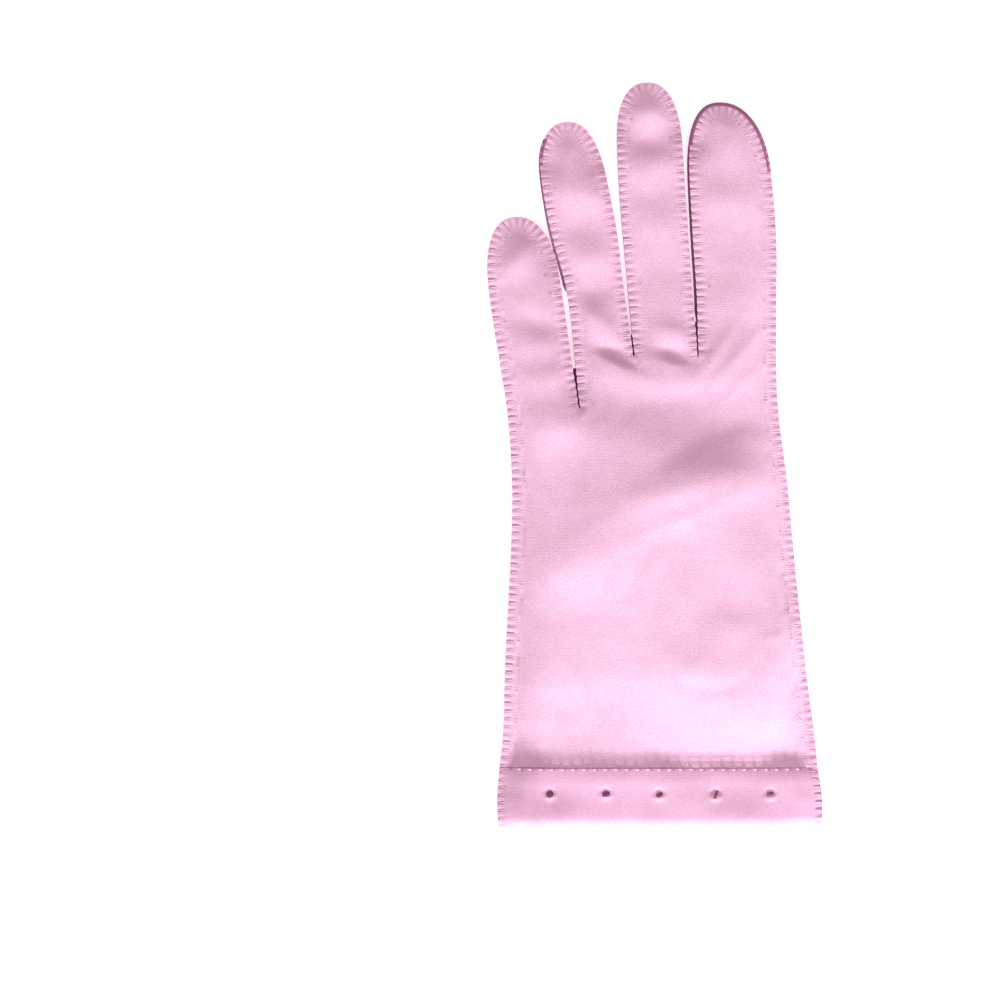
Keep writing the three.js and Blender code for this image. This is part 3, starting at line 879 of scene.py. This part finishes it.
THUMB_ROOT = Vector((21.3, -56.85, 0)) * MM
THUMB_TIP = Vector((1.3, -19.85, 0)) * MM
MOUTH = {"along": 1.5 * MM, "half_length": 12.5 * MM, "half_width": 9.5 * MM}
thumb_way = (THUMB_TIP - THUMB_ROOT).normalized()
thumb_turn = math.atan2(thumb_way.y, thumb_way.x)

REST = 0.3 * MM
PALM_SMOOTHING = 1.2 * MM

palm_top = top_of("palm_panel", PALM_SMOOTHING)
palm_sheet = cut_panel(palm_outline, INSETS[1::2], PALM_CELL)
lay(palm_sheet, palm_top, palm_seam, left_plain, left_plain, lowest=CLOTH + REST)
palm = settled(thicken(finished(palm_sheet, "palm_cloth", pink_knit), CLOTH))
cut_away(palm, oval_prisms(
    [(THUMB_ROOT + thumb_way * MOUTH["along"], MOUTH["half_length"], MOUTH["half_width"],
      thumb_turn)], sides=40,
))
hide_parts("palm_panel")
print("the palm has", len(palm.data.polygons), "faces")

# %% [markdown]
# ## The strips between the fingers, and the thumb
#
# These lie mostly out of sight, so they keep the plain model's form. A merged copy of its mesh
# is rounded by a Subdivision Surface, which turns its few flat faces into soft cloth.

# %% Round the strips and the thumb
def softened(name, piece_name, material, levels):
    """A piece in the plain model's form, with its facets rounded."""
    mesh = merged(name)
    bmesh.ops.join_triangles(
        mesh, faces=mesh.faces, angle_face_threshold=0.5, angle_shape_threshold=0.7,
    )
    piece = finished(mesh, piece_name, material)
    soft = piece.modifiers.new("softness", "SUBSURF")
    soft.levels = soft.render_levels = levels
    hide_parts(name)
    return piece


# The strips wear the darker strip knit, which is painted shade.
STRIPS = {"ring_little": 14 * MM, "middle_ring": 8.5 * MM, "index_middle": 12.5 * MM}
for fingers in STRIPS:
    softened(f"fourchette_{fingers}", f"strip_{fingers}", shaded_strip_knit, 2)
softened("thumb", "thumb_cloth", pink_knit, 2)

# %% [markdown]
# At its root each strip turns round the crotch, and its fold closes the last stretch of the slit
# from below. It is a small sheet that follows the slit, so a grid is laid along it. Its dark
# knit is painted shade for the deep shadow at the bottom of the slit.

# %% Close the slits at their roots
STRIP_CLOTH = 0.5 * MM
WEB_ROWS_BELOW = 3
WEB_TUCK = 0.8 * MM
WEB_HEIGHT = 2.6 * MM
WEB_SAG = 0.5 * MM
WEB_FALL = 1.2 * MM


def strip_cloth(mesh, name):
    """A narrow edge of a strip, with its thickness, in the knit painted dark for shade."""
    piece = thicken(finished(mesh, name, shaded_strip_knit), STRIP_CLOTH)
    soft = piece.modifiers.new("softness", "SUBSURF")
    soft.levels = soft.render_levels = 1
    return piece


def root_web(name, crotch, length):
    """The folded cloth of a strip that shows at the bottom of a slit, from its end upwards."""
    steps = round(length / STEP)
    mesh = bmesh.new()
    bmesh.ops.create_grid(mesh, x_segments=4, y_segments=steps, size=1)
    for vert in mesh.verts:
        k = round((vert.co.y + 1) / 2 * steps) - WEB_ROWS_BELOW
        right = back_outline[crotch - max(k, 0)]
        left = back_outline[(crotch + max(k, 0)) % len(back_outline)]
        middle = (left + right) / 2 + Vector((0, min(k, 0) * STEP, 0))
        half = (left - right).length / 2 + WEB_TUCK
        x = middle.x + vert.co.x * half
        sag = WEB_SAG * (1 - vert.co.x ** 2) + WEB_FALL * max(0.0, k / steps) ** 3
        vert.co = (x, middle.y, palm_top(x, middle.y) + WEB_HEIGHT - sag)
    return strip_cloth(mesh, name)


crotch_points = [i for i in range(len(back_outline)) if turn_at(back_outline, i) > SLIT_CORNER]
crotch_points = [i for i in crotch_points if back_outline[i].y > 0]
crotch_points.sort(key=lambda i: back_outline[i].x)
print("the slits end at points", crotch_points)
for i, (fingers, length) in zip(crotch_points, STRIPS.items()):
    root_web(f"strip_root_{fingers}", i, length)

# %% [markdown]
# Beside two of the fingers the edge of a strip also peeps out as a thin dark line: a painted
# shadow along the finger's side, made in the dark strip knit. The line follows the back's outline,
# and the rest of its small sheet is tucked under the back.

# %% Let the strips show beside two fingers as painted shadow lines
SIDE_WIDTH = 1.2 * MM
SIDE_HEIGHT = 0.6 * MM
SIDE_RISE = 0.9 * MM
# how fast the line widens at its start and how fast it thins at its end
SIDE_FADES = (30, 8)


def shadow_line(name, crotch, first, length, low, high):
    """The edge of a dark strip that shows at the left of a finger as a painted shadow line, from
    some way above a crotch.
    """
    steps = round(length / STEP)
    mesh = bmesh.new()
    bmesh.ops.create_grid(mesh, x_segments=3, y_segments=steps // 2, size=1)
    for vert in mesh.verts:
        share = (vert.co.y + 1) / 2
        i = crotch - round(first / STEP) - round(share * steps)
        edge, outward = back_outline[i], seam.inward(i) * -1
        fade = min(1.0, SIDE_FADES[0] * share, SIDE_FADES[1] * (1 - share))
        showing, tucked = (low + (high - low) * share) * fade, (1 - vert.co.x) / 2
        place = edge + outward * (showing - SIDE_WIDTH * tucked)
        height = palm_top(place.x, place.y) + SIDE_HEIGHT + SIDE_RISE * tucked
        vert.co = (place.x, place.y, height)
    bmesh.ops.recalc_face_normals(mesh, faces=mesh.faces)
    return strip_cloth(mesh, name)


SHADOW_LINE_STRIPS = [
    # finger, slit, how far above the crotch, length, how far it shows at its two ends, in mm
    ("ring", "ring_little", 36, 48, 0.6, 0.22),
    ("index", "index_middle", 11, 100, 0.55, 0.15),
]
crotch_of = dict(zip(STRIPS, crotch_points))
for finger, slit, *sizes in SHADOW_LINE_STRIPS:
    shadow_line(f"strip_shadow_line_{finger}", crotch_of[slit], *[size * MM for size in sizes])

# %% [markdown]
# ## The band round the cuff
#
# The band is a strip of the knit, folded along its lower edge so that it lies double. It is
# made here as a sewing room makes it: a flat strip is cut, its eyelets are punched while it is
# flat, and then it is folded. The Boolean that punches it works best on a flat sheet, and the
# fold is only a change of place for each point. The punch leaves a small raised lip. The eyelets
# of the palm side lie a few millimetres to one side of the back's, so nothing shows through both.

# %% The sizes of the band
BAND_TOP = CUFF_SEAM - SEAM_GAP / 2
PRICK_PITCH = 3.25 * MM
PRICK_LENGTH = 1.25 * MM
PRICK_START = 6 * MM
PRICK_DROP = 0.35 * MM
PRICK_END = 5 * MM
# A painted shadow darkens the knit at one end of each prick stitch.
PRICK_SHADOW_SIZE = 0.45 * MM
PRICK_SHADOW_PLACE = 0.6
PRICK_SHADE = 0.6
EYELETS = [
    # x, y, half length, half width, turn in degrees
    (-32.0, -102.4, 1.05, 1.00, 0),
    (-15.0, -102.3, 1.20, 0.80, 10),
    (1.2, -102.6, 1.10, 0.62, 26),
    (18.3, -102.6, 1.45, 0.45, 58),
    (34.8, -102.5, 1.15, 0.58, 10),
    (-40.2, -113.5, 1.20, 0.60, 0),
    (-23.3, -113.6, 1.20, 0.60, 0),
    (-6.4, -113.7, 1.20, 0.60, 0),
    (10.0, -113.7, 1.20, 0.60, 0),
    (27.0, -113.6, 1.20, 0.60, 0),
    (43.9, -113.1, 1.20, 0.60, 0),
]
BAND_COLUMNS = 200
BAND_ROWS = 116
CROWDING = 0.7
BAND_CLOTH = 0.55 * MM
FOLD_RADIUS = 0.8 * MM
FOLD_RISE = 1.2 * MM
FLAT_WIDTH = 100 * MM
LAYER = 18.1 * MM
FOLD_LENGTH = math.pi * FOLD_RADIUS
FLAT_LENGTH = 2 * LAYER + FOLD_LENGTH
LIP = 0.65 * MM
LIP_PLACE = 1.1 * MM
LIP_REACH = 0.8 * MM
AT_FOLD = 2 * MM
PALM_SHIFT_MM = 3.2
END_HEIGHT = 0.6
END_REACH = 5 * MM
RIPPLE = 0.5 * MM
RIPPLE_SIZE = 11 * MM
ROLL_REACH = 2.8 * MM
ROLL_DROP = 1.1 * MM
TOP_REACH = 3.5 * MM
TOP_RISE = 0.55 * MM
BAND_REST = 0.45 * MM


def side_edges(name):
    """A function that gives a node's left and right edge at a height."""
    mesh = merged(name)
    tree = BVHTree.FromBMesh(mesh)
    mesh.free()
    low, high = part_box(name)
    lowest, level = low.y + 2 * MM, low.z + 0.3 * MM

    def at(y):
        y = min(max(y, lowest), high.y - 0.05 * MM)
        left = tree.ray_cast(Vector((low.x - MM, y, level)), Vector((1, 0, 0)))[0]
        right = tree.ray_cast(Vector((high.x + MM, y, level)), Vector((-1, 0, 0)))[0]
        return left.x, right.x

    return at


band_sides = side_edges("cuff_band_back")
print("the band's edges at its top:", [round(x / MM, 1) for x in band_sides(BAND_TOP)])


# %% Cut the strip and punch its eyelets
def flat_place(x, y):
    """Where a place of the finished band is on the flat strip: across, and down the strip."""
    left, right = band_sides(y)
    return (x - left) / (right - left) * FLAT_WIDTH, BAND_TOP - y


def punched_strip(name, shift):
    """The flat strip as a solid, from its upper edge at 0 down to its inner edge.
    Its columns crowd together at its two ends, where the stitches pucker it."""
    mesh = bmesh.new()
    bmesh.ops.create_grid(mesh, x_segments=BAND_COLUMNS, y_segments=BAND_ROWS, size=0.5)
    for vert in mesh.verts:
        share = vert.co.x + 0.5
        share -= CROWDING * math.sin(2 * math.pi * share) / (2 * math.pi)
        vert.co.x, vert.co.y = share * FLAT_WIDTH, -(0.5 - vert.co.y) * FLAT_LENGTH
    strip = settled(thicken(finished(mesh, name, band_knit), BAND_CLOTH))
    punches = []
    for x, y, long, wide, turn in EYELETS:
        across, down = flat_place((x + shift) * MM, y * MM)
        to_fold = FLAT_LENGTH / 2 - down
        if to_fold < AT_FOLD:
            middle = Vector((across, -FLAT_LENGTH / 2, 0))
            punches.append((middle, long * MM, wide * MM, 0))
            continue
        for at, way in ((down, 1), (FLAT_LENGTH - down, -1)):
            middle = Vector((across, -at, 0))
            punches.append((middle, long * MM, wide * MM, math.radians(turn) * way))
    return cut_away(strip, oval_prisms(punches, sides=20))


# %% Fold the strip
def prick_shadow(x, y):
    """How near a place is to the painted shadow at the right end of a prick stitch, from 0 to 1."""
    start = band_sides(BAND_TOP - PRICK_DROP)[0] + PRICK_START + PRICK_LENGTH * PRICK_SHADOW_PLACE
    off = ((x - start) / PRICK_PITCH + 0.5) % 1 - 0.5
    far = math.hypot(off * PRICK_PITCH, y - BAND_TOP + PRICK_DROP)
    return math.exp(-(far / PRICK_SHADOW_SIZE) ** 2)


def lip_height(dx, dy):
    """How a punched eyelet lifts the cloth on its lower side and lowers it on its upper side."""
    far = math.hypot(dx, dy)
    return -LIP * dy / max(far, 0.1 * MM) * math.exp(-((far - LIP_PLACE) / LIP_REACH) ** 2)


def fold_place(down, depth):
    """Where the fold takes a point of the strip: its y, how deep it lies, how far it faces out."""
    if down <= LAYER:
        return BAND_TOP - down, depth, 1
    if down > LAYER + FOLD_LENGTH:
        return BAND_TOP - LAYER + (down - LAYER - FOLD_LENGTH), 2 * FOLD_RADIUS - depth, -1
    angle = (down - LAYER) / FOLD_RADIUS
    y = BAND_TOP - LAYER - math.sin(angle) * (FOLD_RADIUS - depth)
    sunk = FOLD_RADIUS - math.cos(angle) * (FOLD_RADIUS - depth)
    return y, sunk, math.cos(angle)


def folded(name, node_name, facing):
    """The band on one side of the glove, facing up (1) or down (-1)."""
    shift = 0 if facing > 0 else PALM_SHIFT_MM
    strip = punched_strip(name, shift)
    top = top_of(node_name, 1.3 * MM)
    mesh = bmesh.new()
    mesh.from_mesh(strip.data)
    painted_shade = mesh.verts.layers.float.new("painted_shade")
    for vert in mesh.verts:
        share, down, depth = vert.co.x / FLAT_WIDTH, -vert.co.y, -vert.co.z
        lift = FOLD_RISE * max(0, 2 * share - 1) ** 2
        y, sunk, outward = fold_place(down, depth)
        from_top = max(0.0, BAND_TOP - y)
        y += lift * from_top / LAYER
        left, right = band_sides(y)
        x = left + (right - left) * share
        edge = min(x - left, right - x)
        flatter = END_HEIGHT + (1 - END_HEIGHT) * min(1, edge / END_REACH)
        upper = top(x, y) - (0 if facing > 0 else 2 * FOLD_RADIUS * flatter)
        z = upper - sunk * flatter if facing > 0 else upper + sunk * flatter
        lip = sum(lip_height(x - (ex + shift) * MM, y - ey * MM) for ex, ey, *_ in EYELETS)
        roll = ROLL_DROP * max(0.0, 1 - (LAYER - from_top) / ROLL_REACH) ** 2
        rise = TOP_RISE * math.exp(-(from_top / TOP_REACH) ** 2)
        ripple = noise.noise(Vector((x, y, 0.02 * facing)) / RIPPLE_SIZE) * RIPPLE
        off = off_stitch(from_top)
        groove = groove_at(off, max(0.0, 1 - edge / GROOVE_LENGTH), GROOVE_WIDTH)
        # Painted shade in the grooves and patches, and a painted shadow at each prick stitch.
        vert[painted_shade] = GROOVE_SHADE * groove / GROOVE_DEPTH + shade_patches(x, y)
        vert[painted_shade] += PRICK_SHADE * prick_shadow(x, y)
        pull = pull_at(off, edge)
        x += pull if share < 0.5 else -pull
        folds = fold_height(x, y) if facing > 0 else 0.0
        z += facing * (ripple + outward * (lip - groove)) + folds
        z += rise - roll if facing > 0 else 0.0
        vert.co = (x, y, max(z, BAND_REST + sunk / 2))
    bmesh.ops.triangulate(mesh, faces=[f for f in mesh.faces if len(f.verts) > 4])
    if facing < 0:
        bmesh.ops.reverse_faces(mesh, faces=mesh.faces)
    mesh.to_mesh(strip.data)
    mesh.free()
    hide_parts(node_name)
    return strip


band_back = folded("cuff_band_back_cloth", "cuff_band_back", 1)
band_palm = folded("cuff_band_palm_cloth", "cuff_band_palm", -1)
print("each band has", len(band_back.data.polygons), "faces")

# %% [markdown]
# ## The stitches
#
# Each stitch is a short length of thread. Many small things like these are best made as one
# curve with a round bevel, because every stitch is then only a few points. The points are laid
# on the finished cloth with a ray, and the curve is made a mesh at the end.

# %% Lay short lengths of thread on the cloth
def surface_of(*pieces_of_cloth):
    """A ray tree over finished pieces, modifiers included."""
    graph = bpy.context.evaluated_depsgraph_get()
    gathered = bmesh.new()
    for piece in pieces_of_cloth:
        shown = piece.evaluated_get(graph)
        gathered.from_mesh(shown.to_mesh())
        shown.to_mesh_clear()
    tree = BVHTree.FromBMesh(gathered)
    gathered.free()
    return tree


def on_surface(tree, x, y, facing):
    """The height of the cloth at a place, from above (1) or from below (-1)."""
    hit = tree.ray_cast(Vector((x, y, facing * RAY_START)), Vector((0, 0, -facing)))[0]
    return hit.z if hit is not None else None


def threads(name, lines, radius, material):
    """Short lengths of thread, each through a few points, joined as one mesh."""
    curve = bpy.data.curves.new(name, "CURVE")
    curve.dimensions = "3D"
    curve.bevel_depth, curve.bevel_resolution, curve.use_fill_caps = radius, 1, True
    for line in lines:
        spline = curve.splines.new("POLY")
        spline.points.add(len(line) - 1)
        for i, (point, point_place) in enumerate(zip(spline.points, line)):
            point.co = (*point_place, 1)
            point.radius = 1.0 - 0.55 * abs(2 * i / (len(line) - 1) - 1) ** 2
    holder = bpy.data.objects.new(name, curve)
    bpy.context.scene.collection.objects.link(holder)
    mesh = bmesh.new()
    mesh.from_mesh(bpy.data.meshes.new_from_object(holder))
    bpy.data.objects.remove(holder)
    bpy.data.curves.remove(curve)
    piece = finished(mesh, name, material)
    print(name, "has", len(lines), "stitches and", len(piece.data.polygons), "faces")
    return piece


SEAM_THREAD = 0.16 * MM
THREAD_RISE = 0.05 * MM
REACHES_MM = [-0.05, 0.35, 0.9, 1.6, 2.3]


def stitch_over(tree, start, way, facing):
    """The points of one stitch over an edge, from the edge inwards, where there is cloth."""
    points = []
    for reach in REACHES_MM:
        place = start + way * (reach * MM + SCALLOP)
        z = on_surface(tree, place.x, place.y, facing)
        if z is not None:
            points.append((place.x, place.y, z + facing * THREAD_RISE))
    return points


def seam_threads(line, tree, facing):
    """The outer seam's stitches on one side of the glove."""
    made = [stitch_over(tree, line.path[i], line.inward(i), facing) for i in line.stitches()]
    return [points for points in made if len(points) > 2]


for side, facing, piece, line in (("back", 1, back, seam), ("palm", -1, palm, palm_seam)):
    stitches = seam_threads(line, surface_of(piece), facing)
    threads(f"outer_seam_stitches_{side}", stitches, SEAM_THREAD, seam_thread)

# %% [markdown]
# The band is held by a row of prick stitches: tiny stitches that show only as raised dots with
# a gap between them. Its two ends are sewn over like the sides of the glove.

# %% Prick the band down
PRICK_THREAD = 0.24 * MM
# place along the stitch as a share of its length, height above the cloth in mm
PRICK_SHAPE = [(-0.5, -0.12), (-0.2, 0.16), (0.2, 0.16), (0.5, -0.12)]


def prick_stitches(tree, facing):
    """A row of small raised stitches just below the upper edge of the band."""
    lines = []
    y = BAND_TOP - PRICK_DROP
    left, right = band_sides(y)
    x = left + PRICK_START
    while x < right - PRICK_END:
        points = []
        for k, rise in PRICK_SHAPE:
            z = on_surface(tree, x + k * PRICK_LENGTH, y, facing)
            if z is not None:
                points.append((x + k * PRICK_LENGTH, y, z + facing * rise * MM))
        if len(points) == len(PRICK_SHAPE):
            lines.append(points)
        x += PRICK_PITCH
    return lines


def end_stitches(tree, facing):
    """The stitches over the two ends of the band."""
    lines = []
    y = BAND_TOP - PITCH / 2
    while y > BAND_TOP - LAYER:
        left, right = band_sides(y)
        for edge, way in ((left, 1), (right, -1)):
            lines.append(stitch_over(tree, Vector((edge, y, 0)), Vector((way, 0, 0)), facing))
        y -= PITCH
    return [points for points in lines if len(points) > 2]


for side, facing, piece in (("back", 1, band_back), ("palm", -1, band_palm)):
    band_surface = surface_of(piece)
    threads(f"prick_stitches_{side}", prick_stitches(band_surface, facing), PRICK_THREAD,
            prick_thread)
    threads(f"band_end_stitches_{side}", end_stitches(band_surface, facing), SEAM_THREAD,
            seam_thread)
